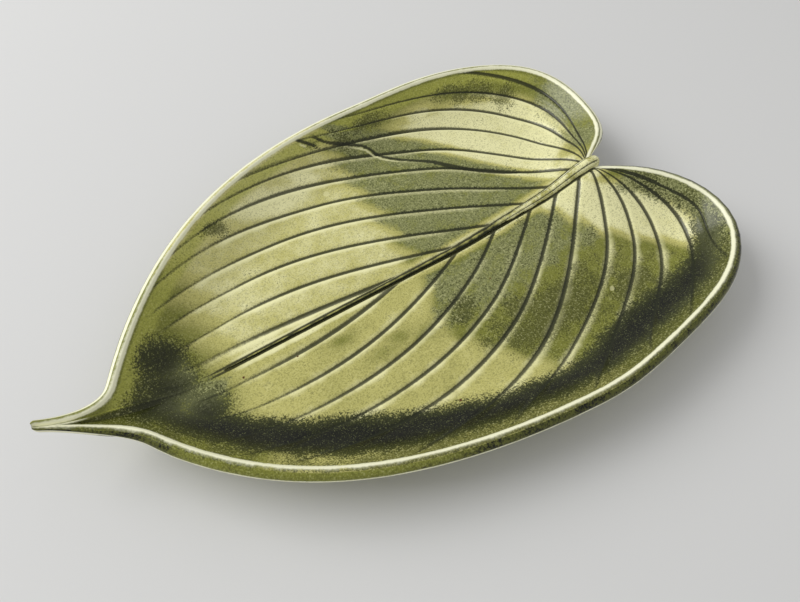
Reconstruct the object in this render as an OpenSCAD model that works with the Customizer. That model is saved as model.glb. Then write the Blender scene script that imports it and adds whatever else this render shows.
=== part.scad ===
// Leaf shaped serving dish: a dished clay slab with a drawn-out tip and a notched base,
// side veins drawn into its inside, a rolled midrib laid along the middle and a foot ring below.
// The tip points to -X, the lobes to +X, and the table is at z = 0.

/* [Leaf outline] */
// Length of the rim crest, from the tip to the ends of the lobes
rim_len = 268; // [240:1:310]
// Half of the width across the rim crest
rim_half_w = 86; // [72:1:102]
// How far the notch cuts in from the ends of the lobes
notch_depth = 26; // [18:1:36]
// Width of the tip, between the rim crests
tip_w = 2.6; // [2:0.1:4]
// How far the end of the tip curls to one side
tip_curl = 3; // [0:0.5:6]
// Length of the stretch that curls
curl_reach = 20; // [12:1:30]
// Sideways bow of the middle of the leaf, near the stem
stem_bow = 2; // [0:0.5:4]
// Half of the length of the bowed stretch
bow_reach = 44; // [30:1:60]

/* [Bowl] */
// Height of the rim crest over the table
rim_h = 24; // [18:0.5:32]
// Thickness of the slab
wall_t = 5.5; // [4:0.25:7]
// How far the curve of the wall reaches in from the rim crest
wall_run = 28; // [20:1:34]
// How much higher the tip stands than the rim
tip_rise = 6; // [0:0.5:12]
// Length of the stretch that rises to the tip
tip_reach = 26; // [18:1:36]
// Length over which the slab thins towards the tip
thin_reach = 36; // [24:1:60]
// Height of the blade at the notch, over the table
notch_h = 21; // [17:0.5:24]
// Length over which the rim comes down to the notch
notch_reach = 25; // [15:1:40]
// How much the floor rises to the stem
ridge_rise = 9; // [4:0.5:12]
// Length over which the floor rises to the stem
ridge_reach = 50; // [30:1:58]

/* [Veins] */
// Width of a vein groove
vein_w = 1.8; // [1:0.1:3]
// Depth of a vein groove
vein_depth = 0.9; // [0.3:0.1:1.5]

/* [Midrib] */
// Width of the midrib coil at the notch
stem_w = 5; // [3:0.25:7]
// Width of the midrib where it runs out
midrib_end_w = 1.4; // [0.8:0.1:2.5]
// Height of the midrib coil over its seat at the notch
stem_h = 3.2; // [2:0.1:5]
// Height of the midrib where it runs out
midrib_end_h = 0.5; // [0.3:0.1:1]
// How far the cut end of the coil stands out over the notch
stem_over = 2.5; // [1:0.25:4]

/* [Foot] */
// Height of the foot ring
foot_h = 3.5; // [2:0.25:6]
// Width of the ring's face
foot_w = 6; // [4:0.5:10]
// Overall length of the ring
foot_len = 112; // [90:1:120]
// Overall width of the ring
foot_width = 80; // [60:1:90]

/* [Hidden] */

// Leaf outline: lengths run from the tip, widths from the middle of the leaf
notch_len = rim_len - notch_depth;
hub = [notch_len, stem_w / 2];
floor_z = foot_h + wall_t;
bow_place_share = 0.78;
foot_place_share = 0.455;
foot_egg_share = 0.12;

// Bezier points of the rim crest on the two halves, as shares of its length and half width
left_crest_shares = [
    [0.085, 0.008], [0.088, 0.055], [0.10, 0.109],
    [0.205, 0.606], [0.36, 1.013], [0.664, 0.984],
    [0.847, 0.968], [0.994, 0.902], [0.982, 0.415],
    [0.973, 0.107]
];
right_crest_shares = [
    [0.03, -0.005], [0.091, 0.099], [0.116, 0.209],
    [0.206, 0.612], [0.342, 0.917], [0.662, 1.004],
    [0.783, 1.035], [1.031, 0.882], [1.006, 0.446],
    [0.997, 0.274]
];
// Handle at the notch, as shares of the notch's depth and of the half width
notch_handle_shares = [0.42, 0.13];
span_count = 4;
span_steps = 36;

// Vein lines, from the tip (0) through the eleven veins (1 to 11) and the lobe (12) to the notch (13).
// Where each leaves the midrib, as a share of the length to the notch
vein_count = 11;
origin_shares = [
    0.002, 0.56, 0.685, 0.775, 0.86, 0.917, 0.963,
    0.985, 0.989, 0.992, 0.9945, 0.9965, 0.9985, 1
];
// Where each meets the rim, as a share of the rim crest's length, on the two halves
left_end_shares = [0, 0.056, 0.068, 0.086, 0.122, 0.171, 0.208, 0.272, 0.338, 0.435, 0.49, 0.678, 0.84, 1];
right_end_shares = [0, 0.06, 0.086, 0.132, 0.169, 0.213, 0.325, 0.424, 0.517, 0.594, 0.661, 0.764, 0.974, 1];
// Angle at which each leaves the midrib, from the direction of the tip
left_leave = [0, 6, 18, 26, 33, 40, 49, 65, 100, 115, 120, 125, 124, 142];
right_leave = [0, 15, 25, 33, 39, 45, 53, 81, 111, 120, 130, 131, 134, 142];
// Angle at which each comes away from the rim, from the direction of the lobes
left_meet = [-11, 10, 25, 38, 38, 36, 35, 26, 15, -2, -4, -27, -252, -142];
right_meet = [0, -4, 11, 8, 9, 11, -1, -18, -26, -35, -37, -72, -190, -142];
// Reach of a vein line's two handles, as shares of its chord
left_leave_reach = [0.45, 0.45, 0.45, 0.45, 0.45, 0.45, 0.45, 0.39, 0.42, 0.52, 0.66, 0.99, 0.85, 0.45];
right_leave_reach = [0.45, 0.45, 0.45, 0.45, 0.45, 0.45, 0.45, 0.39, 0.42, 0.52, 0.66, 0.88, 1.15, 0.45];
left_meet_reach = [0.36, 0.36, 0.36, 0.36, 0.36, 0.36, 0.36, 0.38, 0.34, 0.48, 0.51, 0.01, 0.06, 0.36];
right_meet_reach = [0.36, 0.36, 0.36, 0.36, 0.36, 0.36, 0.36, 0.38, 0.34, 0.48, 0.51, 0.42, 0, 0.36];
// Powers by which the lines' starts crowd into the tip and their ends spread out of it
tip_start_power = 1.7;
tip_end_power = 1.3;
// Half width of a groove, at the midrib and at most, as shares of the way to the next vein
groove_start_share = 0.15;
groove_cap_share = 0.3;
// Shares of a vein's length over which its groove deepens and runs out
groove_in_share = 0.06;
groove_out_share = 0.25;

// Slab thickness at the tip and at the notch, and the bulge of its edge, as shares of the slab
tip_t_share = 0.32;
notch_t_share = 0.25;
edge_bulge_share = 0.12;
// Where the midrib runs out, as a share of the length to the notch
midrib_end_share = 0.25;
// Width of the cut end of the stem, as a share of the coil
stem_end_share = 0.7;

// Cells of the blade before the first vein, after each vein, and past the lobe
cell_counts = [14, 2, 2, 2, 2, 3, 3, 3, 4, 5, 5, 6, 9];
// Steps across the blade, over the crown of the coil and round the foot
blade_steps = 14;
blade_power = 1.25;
coil_steps = 8;
foot_steps = 96;

// Rim crest of each half, with its widths counted outwards
function bezier(a, b, c, d, t) =
    a * pow(1 - t, 3) + b * 3 * t * pow(1 - t, 2) + c * 3 * t * t * (1 - t) + d * pow(t, 3);
function crest_line(shares) =
    let (
        points = concat(
            [[0, tip_w / 2]],
            [for (p = shares) [p.x * rim_len, p.y * rim_half_w]],
            [[notch_len + notch_handle_shares.x * notch_depth, notch_handle_shares.y * rim_half_w], hub]
        )
    )
    concat(
        [
            for (i = [0 : 3 : 3 * span_count - 3]) for (k = [0 : span_steps - 1])
            bezier(points[i], points[i + 1], points[i + 2], points[i + 3], k / span_steps)
        ],
        [hub]
    );
left_crest = crest_line(left_crest_shares);
right_crest = crest_line(right_crest_shares);
// Tables of a crest's lengths (axis 0) or widths (axis 1) by the share of the way along it
function by_share(line, axis) =
    let (
        steps = [for (i = [0 : len(line) - 1]) i == 0 ? 0 : norm(line[i] - line[i - 1])],
        runs = [
            for (i = 0, run = 0; i < len(line); i = i + 1, run = run + (i < len(line) ? steps[i] : 0))
            run
        ],
        total = runs[len(runs) - 1]
    )
    [for (i = [0 : len(line) - 1]) [runs[i] / total, line[i][axis]]];
left_crest_x = by_share(left_crest, 0);
left_crest_y = by_share(left_crest, 1);
right_crest_x = by_share(right_crest, 0);
right_crest_y = by_share(right_crest, 1);
function crest_at(share, left) =
    [lookup(share, left ? left_crest_x : right_crest_x), lookup(share, left ? left_crest_y : right_crest_y)];
// Direction out of the leaf, square to the rim crest
crest_step_share = 0.004;
function crest_out(share, left) =
    let (
        ahead = crest_at(min(1, share + crest_step_share), left),
        behind = crest_at(max(0, share - crest_step_share), left),
        along = (ahead - behind) / norm(ahead - behind)
    )
    [-along.y, along.x];

// Vein lines over the blade
function between(table, q) =
    let (i = min(floor(q), len(table) - 2)) table[i] + (table[i + 1] - table[i]) * (q - i);
function seat_half_w(x) =
    let (share = max(0, min(1, x / notch_len))) (midrib_end_w + (stem_w - midrib_end_w) * share) / 2;
// Before the first vein the lines start close together and end far apart, to fill the narrow tip
function origin_at(q) =
    let (x = between(origin_shares, q < 1 ? pow(q, tip_start_power) : q) * notch_len) [x, seat_half_w(x)];
function end_share_at(q, left) =
    between(left ? left_end_shares : right_end_shares, q < 1 ? 1 - pow(1 - q, tip_end_power) : q);
function vein_at(q, left, s) =
    let (
        start = origin_at(q),
        finish = crest_at(end_share_at(q, left), left),
        chord = norm(finish - start),
        leave = between(left ? left_leave : right_leave, q),
        meet = between(left ? left_meet : right_meet, q)
    )
    bezier(
        start,
        start + between(left ? left_leave_reach : right_leave_reach, q) * chord * [-cos(leave), sin(leave)],
        finish + between(left ? left_meet_reach : right_meet_reach, q) * chord * [cos(meet), sin(meet)],
        finish, s
    );
// Half width of vein i's groove at s, counted in veins, towards the next vein (1) or the one before (-1)
vein_step_share = 0.02;
function groove_half(i, left, s, towards) =
    let (
        ahead = vein_at(i, left, min(1, s + vein_step_share)),
        behind = vein_at(i, left, max(0, s - vein_step_share)),
        along = (ahead - behind) / norm(ahead - behind),
        across = vein_at(i + towards, left, s) - vein_at(i, left, s),
        full = min(groove_cap_share, vein_w / 2 / abs(cross(across, along)))
    )
    groove_start_share + (full - groove_start_share) * min(1, s / groove_in_share);
function groove_edge(i, left, s, towards) =
    i < 1 || i > vein_count ? i : i + towards * groove_half(i, left, s, towards);
function groove_depth(s) =
    vein_depth * min(1, s / groove_in_share) * min(1, (1 - s) / groove_out_share);

// Heights over the table, and the thickness of the slab
function fade(share) = pow(max(0, 1 - share), 2);
function segment_gap(p, a, b) =
    let (ab = b - a, t = max(0, min(1, ((p - a) * ab) / (ab * ab)))) norm(p - a - ab * t);
function line_gap(p, line) = min([for (i = [1 : len(line) - 1]) segment_gap(p, line[i - 1], line[i])]);
// Gap from a point of one half to the nearer of the two crests
function rim_gap(p, left) =
    let (own = left ? left_crest : right_crest, other = left ? right_crest : left_crest)
    min(line_gap(p, own), line_gap([p.x, -p.y], other));
function rim_z(p) =
    rim_h + tip_rise * fade(p.x / tip_reach) - (rim_h - notch_h) * fade(norm(p - hub) / notch_reach);
function base_z(p) = floor_z + ridge_rise * fade(norm(p - hub) / ridge_reach);
function wall_rise(p) = max(0, rim_z(p) - base_z(p));
function top_z(p, gap) = base_z(p) + wall_rise(p) * fade(gap / wall_run);
function wall_slope(p, gap) = 2 * wall_rise(p) / wall_run * max(0, 1 - gap / wall_run);
function slab_t(p) = wall_t * min(1, tip_t_share + (1 - tip_t_share) * p.x / thin_reach);
function under_z(p, gap) = top_z(p, gap) - slab_t(p) * sqrt(1 + pow(wall_slope(p, gap), 2));
// Sideways place of the middle of the leaf
function middle_y(x) =
    tip_curl * fade(x / curl_reach)
    + stem_bow * pow(max(0, 1 - pow((x - bow_place_share * rim_len) / bow_reach, 2)), 2);
function placed(p, left, z) = [p.x, (left ? p.y : -p.y) + middle_y(p.x), z];

// Rim edge at a share of the crest: turn 0 is the crest, 180 the lower arris
function edge_point(share, left, turn) =
    let (
        p = crest_at(share, left),
        tilt = atan(wall_slope(p, 0)),
        t = slab_t(p) * min(1, notch_t_share + norm(p - hub) / notch_reach),
        bulge = edge_bulge_share * t * sin(turn),
        down = t * (1 - cos(turn)) / 2,
        out = p + crest_out(share, left) * (down * sin(tilt) + bulge * cos(tilt))
    )
    placed(out, left, rim_z(p) - down * cos(tilt) + bulge * sin(tilt));

// Lines of the loft: each is [vein, way from its groove to the next, 1 in the groove itself]
function lines_after(i) =
    let (last = i < vein_count ? cell_counts[i] : cell_counts[i] - 1)
    [for (k = [0 : last]) [i, k / cell_counts[i], 0]];
loft_lines = concat(
    lines_after(0),
    [for (i = [1 : vein_count]) each concat([[i, 0, 1]], lines_after(i))],
    lines_after(vein_count + 1)
);

// Blade points of one half on one line, from the midrib out to the rim crest, as [plan point, gap, s]
function line_q(line, left, s) =
    let (start = groove_edge(line[0], left, s, 1), stop = groove_edge(line[0] + 1, left, s, -1))
    line[2] == 1 ? line[0] : start + (stop - start) * line[1];
function blade_s(k) = 1 - pow(1 - k / blade_steps, blade_power);
function half_line(line, left) = [
    for (k = [0 : blade_steps])
    let (s = blade_s(k), p = vein_at(line_q(line, left, s), left, s))
    [p, k == blade_steps ? 0 : rim_gap(p, left), s]
];
function half_top(line, left, half) = [
    for (h = half) placed(h[0], left, top_z(h[0], h[1]) - line[2] * groove_depth(h[2]))
];
function half_under(left, half) = [
    for (k = [0 : blade_steps - 1]) placed(half[k][0], left, under_z(half[k][0], half[k][1]))
];
function reversed(list) = [for (i = [len(list) - 1 : -1 : 0]) list[i]];
// One closed section of the slab: left edge, over the top to the right edge, and back underneath
function slab_section(line) =
    let (
        left = half_line(line, true),
        right = half_line(line, false),
        left_share = end_share_at(line_q(line, true, 1), true),
        right_share = end_share_at(line_q(line, false, 1), false)
    )
    concat(
        [edge_point(left_share, true, 90), edge_point(left_share, true, 45)],
        reversed(half_top(line, true, left)),
        half_top(line, false, right),
        [edge_point(right_share, false, 45), edge_point(right_share, false, 90)],
        [edge_point(right_share, false, 135), edge_point(right_share, false, 180)],
        reversed(half_under(false, right)),
        half_under(true, left),
        [edge_point(left_share, true, 180), edge_point(left_share, true, 135)]
    );
slab_sections = [for (line = loft_lines) slab_section(line)];

// The part's middle, for the origin
slab_xs = [for (section = slab_sections) for (p = section) p.x];
slab_ys = [for (section = slab_sections) for (p = section) p.y];
middle = [(min(slab_xs) + max(slab_xs)) / 2, (min(slab_ys) + max(slab_ys)) / 2];

// Solid between closed sections of the same count, with each cell cut along its shorter diagonal.
// Point k of a section lies over point count - k, so strips of triangles close the two ends
module loft(sections) {
    count = len(sections[0]);
    last = len(sections) - 1;
    sides = [
        for (r = [0 : last - 1]) for (k = [0 : count - 1])
        let (
            j = (k + 1) % count,
            a = r * count + k,
            b = r * count + j,
            straight = norm(sections[r][k] - sections[r + 1][j]) < norm(sections[r][j] - sections[r + 1][k])
        )
        each straight
            ? [[a, b, b + count], [a, b + count, a + count]]
            : [[a, b, a + count], [b, b + count, a + count]]
    ];
    ends = [
        for (k = [0 : count / 2 - 1])
        let (a = k, b = k + 1, c = (count - k) % count, d = count - k - 1, far = last * count)
        each [
            [a, c, b], [b, c, d],
            [far + a, far + b, far + c], [far + b, far + d, far + c]
        ]
    ];
    whole = [for (f = ends) if (f[0] != f[1] && f[1] != f[2] && f[2] != f[0]) f];
    polyhedron([for (section = sections) each section], concat(sides, whole));
}

// Midrib: sections over the seat on the blade, at the same places as the blade's own lines
function coil_h(x) = midrib_end_h
    + (stem_h - midrib_end_h) * (x / notch_len - midrib_end_share) / (1 - midrib_end_share);
function coil_section(x, seat_z, size) =
    let (half = seat_half_w(x) * size, h = coil_h(min(x, notch_len)) * size)
    concat(
        [for (k = [0 : coil_steps]) let (a = 180 * k / coil_steps)
            [x, half * cos(a) + middle_y(x), seat_z + h * sin(a)]],
        [for (k = [coil_steps - 1 : -1 : 1]) [x, half * cos(180 * k / coil_steps) + middle_y(x), seat_z]]
    );
coil_origins = [
    for (line = loft_lines)
    let (p = origin_at(line_q(line, true, 0)))
    if (p.x >= midrib_end_share * notch_len) p
];
coil_sections = concat(
    [for (p = coil_origins) coil_section(p.x, top_z(p, rim_gap(p, true)), 1)],
    [
        coil_section(notch_len + stem_over / 2, notch_h, 1),
        coil_section(notch_len + stem_over, notch_h, stem_end_share)
    ]
);

// Foot ring: an egg outline, broad towards the lobes, inset by the ring's width
function egg_point(a, inset) = [
    foot_place_share * rim_len + (foot_len / 2 - inset) * cos(a),
    (foot_width / 2 - inset) * sin(a) * (1 + foot_egg_share * cos(a))
];
function egg(inset) = [for (k = [0 : foot_steps - 1]) egg_point(360 * k / foot_steps, inset)];

module leaf_bowl() {
    color([0.45, 0.48, 0.22])
        translate(-middle)
            loft(slab_sections);
}

module midrib_coil() {
    color([0.72, 0.72, 0.44])
        translate(-middle)
            loft(coil_sections);
}

module foot_ring() {
    color([0.86, 0.81, 0.70])
        translate(-middle)
            linear_extrude(foot_h)
                difference() {
                    polygon(egg(0));
                    polygon(egg(foot_w));
                }
}

leaf_bowl();
midrib_coil();
foot_ring();
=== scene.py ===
import math

import bpy
import numpy as np
from mathutils import Matrix, Vector


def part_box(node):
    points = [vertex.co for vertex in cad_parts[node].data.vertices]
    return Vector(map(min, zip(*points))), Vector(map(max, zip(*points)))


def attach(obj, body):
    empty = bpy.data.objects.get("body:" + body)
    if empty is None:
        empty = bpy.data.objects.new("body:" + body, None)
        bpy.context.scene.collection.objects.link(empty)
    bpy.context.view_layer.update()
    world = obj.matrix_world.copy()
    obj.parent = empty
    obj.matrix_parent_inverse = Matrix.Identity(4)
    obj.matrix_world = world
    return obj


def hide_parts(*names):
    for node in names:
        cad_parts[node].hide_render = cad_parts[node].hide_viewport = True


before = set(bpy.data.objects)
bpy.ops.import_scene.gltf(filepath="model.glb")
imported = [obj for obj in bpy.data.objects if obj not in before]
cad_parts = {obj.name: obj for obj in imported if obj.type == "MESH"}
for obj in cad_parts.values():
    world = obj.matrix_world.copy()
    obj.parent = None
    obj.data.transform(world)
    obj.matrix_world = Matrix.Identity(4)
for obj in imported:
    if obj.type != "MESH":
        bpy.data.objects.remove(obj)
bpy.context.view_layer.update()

# Sizes of the dish in millimetres, as in the part's source: x runs from the tip, y from the middle line
MM = 0.001
RIM_LEN = 268.0
RIM_HALF_W = 86.0
NOTCH_DEPTH = 26.0
TIP_W = 2.6
TIP_CURL = 3.0
CURL_REACH = 20.0
STEM_BOW = 2.0
BOW_REACH = 44.0
BOW_PLACE = 0.78 * RIM_LEN
RIM_H = 24.0
WALL_T = 5.5
WALL_RUN = 28.0
TIP_RISE = 6.0
TIP_REACH = 26.0
THIN_REACH = 36.0
NOTCH_H = 21.0
NOTCH_REACH = 25.0
RIDGE_RISE = 9.0
RIDGE_REACH = 50.0
STEM_W = 5.0
MIDRIB_END_W = 1.4
STEM_OVER = 2.5
FOOT_H = 3.5
FOOT_W = 6.0
FOOT_LEN = 112.0
FOOT_WIDTH = 80.0
FOOT_PLACE = 0.455 * RIM_LEN
FOOT_EGG = 0.12
NOTCH_LEN = RIM_LEN - NOTCH_DEPTH
HUB = np.array([NOTCH_LEN, STEM_W / 2])
FLOOR_Z = FOOT_H + WALL_T
TIP_T_SHARE = 0.32
NOTCH_T_SHARE = 0.25
NOTCH_T_REACH = 4.0
MIDRIB_END = 0.25 * NOTCH_LEN

# Bezier points of the rim crest on the left and right halves, as shares of its length and half width
CREST_SHAPES = (
    [
        [0.085, 0.008], [0.088, 0.055], [0.10, 0.109],
        [0.205, 0.606], [0.36, 1.013], [0.664, 0.984],
        [0.847, 0.968], [0.994, 0.902], [0.982, 0.415],
        [0.973, 0.107],
    ],
    [
        [0.03, -0.005], [0.091, 0.099], [0.116, 0.209],
        [0.206, 0.612], [0.342, 0.917], [0.662, 1.004],
        [0.783, 1.035], [1.031, 0.882], [1.006, 0.446],
        [0.997, 0.274],
    ],
)
NOTCH_HANDLE = [NOTCH_LEN + 0.42 * NOTCH_DEPTH, 0.13 * RIM_HALF_W]
SPANS = 4
SPAN_STEPS = 60

# Vein lines from the tip (0) through the veins (1 to 11) and the lobe (12) to the notch (13)
VEINS = 11
LINE_NUMBERS = np.arange(14)
ORIGINS = NOTCH_LEN * np.array([
    0.002, 0.56, 0.685, 0.775, 0.86, 0.917, 0.963,
    0.985, 0.989, 0.992, 0.9945, 0.9965, 0.9985, 1,
])
LEFT = 0
RIGHT = 1
SIDE = (1, -1)
ENDS = (
    [0, 0.056, 0.068, 0.086, 0.122, 0.171, 0.208, 0.272, 0.338, 0.435, 0.49, 0.678, 0.84, 1],
    [0, 0.06, 0.086, 0.132, 0.169, 0.213, 0.325, 0.424, 0.517, 0.594, 0.661, 0.764, 0.974, 1],
)
LEAVE = (
    [0, 6, 18, 26, 33, 40, 49, 65, 100, 115, 120, 125, 124, 142],
    [0, 15, 25, 33, 39, 45, 53, 81, 111, 120, 130, 131, 134, 142],
)
MEET = (
    [-11, 10, 25, 38, 38, 36, 35, 26, 15, -2, -4, -27, -252, -142],
    [0, -4, 11, 8, 9, 11, -1, -18, -26, -35, -37, -72, -190, -142],
)
LEAVE_REACH = (
    [0.45] * 7 + [0.39, 0.42, 0.52, 0.66, 0.99, 0.85, 0.45],
    [0.45] * 7 + [0.39, 0.42, 0.52, 0.66, 0.88, 1.15, 0.45],
)
MEET_REACH = (
    [0.36] * 7 + [0.38, 0.34, 0.48, 0.51, 0.01, 0.06, 0.36],
    [0.36] * 7 + [0.38, 0.34, 0.48, 0.51, 0.42, 0, 0.36],
)
TIP_START_POWER = 1.7
TIP_END_POWER = 1.3

# The blade's grid: rows crowd at the grooves and the tip, steps crowd at the midrib and the rim
GROOVE_STEPS = np.array([0, 0.11, 0.24, 0.39, 0.56, 0.76, 1.0])
GROOVE_ZONE = 2.6
GROOVE_CAP = 0.32
CAP_REACH = 0.08
PLAIN_ROWS = (58, 7, 7, 7, 7, 8, 8, 9, 9, 9, 9, 11, 17)
LAST_ROW = 0.985
TOP_STEPS = 84
TOP_CROWDING = (6, 20, 0.03)
UNDER_STEPS = 18
UNDER_CROWDING = (0, 8, 0.08)
EDGE_STEPS = 8
SEAT_STEPS = 14

# Relief of the veins and reach of the pale band beside them, thin glaze with a painted highlight, at their
# full spacing
GROOVE_DEPTH = 0.5
GROOVE_LEAST = 0.45
GROOVE_WIDTH = 0.85
BANK_H = 0.08
BANK_PLACE = 1.7
BANK_WIDTH = 0.75
PILLOW_H = 0.3
PILLOW_SPACING = 14.0
FULL_SPACING = 6.0
SIZE_LEAST = 0.25
RELIEF_POWER = 0.8
BAND_REACH = (0.5, 4.6)

# Ways along a vein, from the midrib (0) to the rim (1), over which it and its band come in and go out
VEIN_IN = (-0.004, 0.006)
VEIN_OUT = (0.93, 1)
VEIN_THINNED = 0.72
LINE_OUT = (0.95, 1)
BAND_IN = (0.02, 0.12)
BAND_OUT = (0.75, 0.95)

# On the left and right half: where veins begin to thin, and how pale the band, with its painted highlight, is
# on both sides of a vein
THIN_FROM = (0.4, 0.35)
BAND_SIDES = ((0.15, 1.0), (0.7, 0.45))

# Places x over which the veins' relief and their dark lines come in from the tip
VEINS_FROM = (38, 90)
LINES_FROM = (38, 52)
LINES_FULL = (60, 105)
LINE_LEAST = 0.52

# The coil's bed, and the groove and the pale band on its left and right side; the groove's dark line is
# pooled glaze and painted shade
SEAT_GROOVES = (0.35, 0.5)
SEAT_GROOVE_PLACE = 0.35
SEAT_GROOVE_WIDTHS = (0.6, 0.72)
SEAT_GROOVE_FROM = (MIDRIB_END - 16, MIDRIB_END + 4)
SEAT_BED = 0.4
BED_FROM = (MIDRIB_END - 8, MIDRIB_END + 6)
BED_SIDE = (-0.3, 0.1)
MIDRIB_BANDS = ((1.0, 3.2), (2.0, 4.2))
MIDRIB_BAND_RUN = ((58, 70), (120, 160))
MIDRIB_BAND_LEVEL = 0.85

# Roundings of the rim, its cut edge, and distances from the crest over which relief and bands come in
CREST_R = 1.2
CREST_R_SHARE = 0.42
ARRIS_R = 0.8
ARRIS_R_SHARE = 0.4
EDGE_BULGE = 0.1
SQUARE_REACH = 12
WAVES_RIM = (0, 6)
RELIEF_RIM = (0.3, 2.5)
BAND_RIM = (6, 14)
NUB_R = 1.7
NUB_SHARP = 0.25

# Glaze of the rim: pale lines on crest and arris, and a dark cut edge of thick glaze and painted shade,
# thinner on part of the right half
CREST_PLACE = 0.8
CREST_WIDTH = 0.7
SEAT_CREST_PLACE = 0.7
SEAT_CREST_WIDTH = 0.6
ARRIS_LEVEL = 0.9
ARRIS_FROM = (0.78, 0.95)
ARRIS_UNDER = (0, 0.7)
EDGE_UNDER = (0, 5)
UNDER_FROM = (0, 3)
PALE_EDGES = (1.0, 0.0)
PALE_EDGE_END = (0.2, 0.8)
EDGE_LEAST = (1.0, 0.45)
EDGE_THIN = ((0.09, 0.15), (0.3, 0.5))


# Plain shapes of a number
def bezier(a, b, c, d, t):
    """Cubic curve from a to d at the way t, drawn towards b and c."""
    t = np.asarray(t)[..., None]
    return a * (1 - t) ** 3 + 3 * b * t * (1 - t) ** 2 + 3 * c * t ** 2 * (1 - t) + d * t ** 3


def fade(share):
    """One at zero, falling as a parabola to nothing at one."""
    return np.clip(1 - share, 0, None) ** 2


def bell(distance, width):
    """Smooth hump, one in its middle and nearly nothing two widths away."""
    return np.exp(-(distance / width) ** 2)


def ease(low, high, value):
    """Smooth step from zero at low to one at high."""
    t = np.clip((value - low) / (high - low), 0, 1)
    return t * t * (3 - 2 * t)


def stretch(start, end, value):
    """Smooth step up over the pair start, and down again over the pair end."""
    return ease(*start, value) * (1 - ease(*end, value))


FINE_STEPS = 2001


def crowded(count, start_weight, end_weight, reach):
    """Steps from zero to one, crowded at both ends: even steps of a level and two falling weights."""
    fine = np.linspace(0, 1, FINE_STEPS)
    weight = 1 + start_weight * np.exp(-fine / reach) + end_weight * np.exp((fine - 1) / reach)
    total = np.concatenate([[0], np.cumsum((weight[1:] + weight[:-1]) / 2)])
    return np.interp(np.linspace(0, 1, count), total / total[-1], fine)


# Rim crests as fine lines, with the share of the length at each point
def crest_line(shape):
    """One half's rim crest: four cubic curves, from the tip round the lobe to the hub."""
    inner = np.array(shape) * [RIM_LEN, RIM_HALF_W]
    corners = np.vstack([[[0, TIP_W / 2]], inner, [NOTCH_HANDLE], [HUB]])
    ways = np.arange(SPAN_STEPS) / SPAN_STEPS
    return np.vstack([bezier(*corners[3 * i:3 * i + 4], ways) for i in range(SPANS)] + [[HUB]])


def length_shares(line):
    """Share of a line's length at each of its points."""
    runs = np.concatenate([[0], np.cumsum(np.linalg.norm(np.diff(line, axis=0), axis=1))])
    return runs / runs[-1]


CRESTS = [crest_line(shape) for shape in CREST_SHAPES]
CREST_SHARES = [length_shares(line) for line in CRESTS]
CREST_STEP = 0.004

# Points whose distances are worked out at once
CHUNK = 3000


def crest_at(share, half):
    """Point of a half's rim crest at a share of its length."""
    return np.stack([np.interp(share, CREST_SHARES[half], CRESTS[half][:, k]) for k in range(2)], -1)


def direction(curve, way, step):
    """Direction of a curve at a way along it, from a step before to a step after."""
    along = curve(np.minimum(1, way + step)) - curve(np.maximum(0, way - step))
    return along / np.linalg.norm(along, axis=-1, keepdims=True)


def crest_out(share, half):
    """Direction out of the leaf, square to the rim crest."""
    along = direction(lambda way: crest_at(way, half), share, CREST_STEP)
    return np.stack([-along[..., 1], along[..., 0]], -1)


def line_gap(points, line):
    """Distance in plan from each point to a line of straight steps, and where on the line it is nearest."""
    start = line[:-1]
    step = np.diff(line, axis=0)
    flat = points.reshape(-1, 2)
    gaps = []
    places = []
    for part in np.array_split(flat, len(flat) // CHUNK + 1):
        away = part[:, None] - start
        way = np.clip((away * step).sum(-1) / (step * step).sum(-1), 0, 1)
        gap = np.linalg.norm(away - step * way[..., None], axis=-1)
        nearest = gap.argmin(1)
        rows = np.arange(len(part))
        gaps.append(gap[rows, nearest])
        places.append(nearest + way[rows, nearest])
    shape = points.shape[:-1]
    return np.concatenate(gaps).reshape(shape), np.concatenate(places).reshape(shape)


def signed_gap(points, line):
    """Distance to a line of straight steps, positive on its left, and the share of its steps passed there."""
    gap, place = line_gap(points, line)
    index = np.minimum(place.astype(int), len(line) - 2)
    step = np.diff(line, axis=0)[index]
    away = points - line[index]
    left = step[..., 0] * away[..., 1] - step[..., 1] * away[..., 0] > 0
    return np.where(left, gap, -gap), place / (len(line) - 1)


def rim_gap(points, half):
    """Distance in plan to the nearer rim crest and to the half's own, and the share of its own there."""
    own, place = line_gap(points, CRESTS[half])
    other = line_gap(points * [1, -1], CRESTS[1 - half])[0]
    share = np.interp(place, np.arange(len(CRESTS[half])), CREST_SHARES[half])
    return np.minimum(own, other), own, share


# Heights over the table and the thickness of the slab
def hub_gap(p):
    """Distance in plan from the point where the stem meets the notch."""
    return np.linalg.norm(p - HUB, axis=-1)


def rim_z(p):
    """Height of the rim: level, raised to the tip and lowered to the notch."""
    dip = (RIM_H - NOTCH_H) * fade(hub_gap(p) / NOTCH_REACH)
    return RIM_H + TIP_RISE * fade(p[..., 0] / TIP_REACH) - dip


def base_z(p):
    """Height of the floor: level, raised in a ridge to the stem."""
    return FLOOR_Z + RIDGE_RISE * fade(hub_gap(p) / RIDGE_REACH)


def wall_rise(p):
    """Height of the rim over the floor."""
    return np.maximum(0, rim_z(p) - base_z(p))


def top_z(p, gap):
    """Height of the smooth inside: the floor, with a parabola up to the rim crest."""
    return base_z(p) + wall_rise(p) * fade(gap / WALL_RUN)


def wall_slope(p, gap):
    """Slope of that parabola."""
    return 2 * wall_rise(p) / WALL_RUN * np.clip(1 - gap / WALL_RUN, 0, None)


def slab_t(p, gap):
    """Thickness of the slab: thin at the tip, and at its edge in the notch."""
    whole = WALL_T * np.minimum(1, TIP_T_SHARE + (1 - TIP_T_SHARE) * p[..., 0] / THIN_REACH)
    thin = np.minimum(1, NOTCH_T_SHARE + hub_gap(p) / NOTCH_REACH)
    return whole * (1 - (1 - thin) * np.exp(-gap / NOTCH_T_REACH))


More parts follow.
